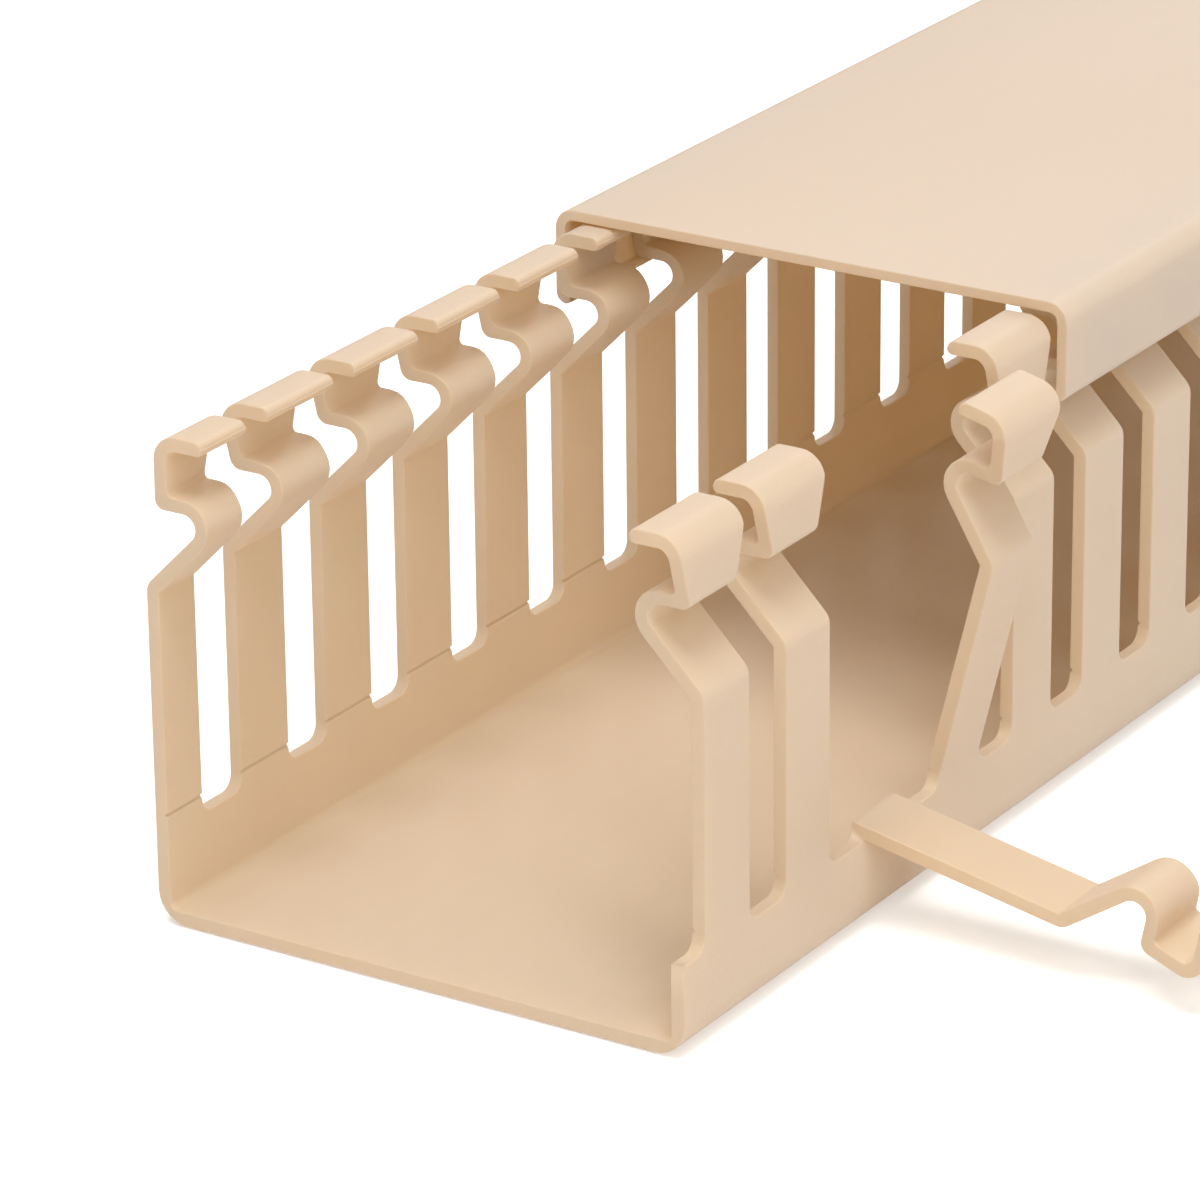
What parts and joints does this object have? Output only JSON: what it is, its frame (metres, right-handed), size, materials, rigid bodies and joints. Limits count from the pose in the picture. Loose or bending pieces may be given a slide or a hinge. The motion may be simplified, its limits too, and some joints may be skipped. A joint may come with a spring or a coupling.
{
  "type": "slotted wiring duct",
  "caption": "Straight slotted wiring duct with inward-bent fingers, score lines and a clip-on cover slid part of the way back.",
  "frame": {"origin": "centre of the duct's flat back", "axes": "+Y along the duct away from its open near end, +Z out of the back towards the cover, +X across towards the wall with the folded finger"},
  "size_m": [0.1342, 1.099, 0.0713],
  "materials": {
    "duct_pvc": "semi-matt extruded rigid PVC, beige",
    "cover_pvc": "semi-matt extruded rigid PVC, pale beige"
  },
  "bodies": {
    "base": {"duct_base": "duct_pvc"},
    "lid": {"cover": "cover_pvc"}
  },
  "joints": [
    {"name": "cover_slide", "type": "slide", "parent": "base", "child": "lid", "axis": [0, 1, 0], "range_m": [-0.018, 0.3]}
  ]
}
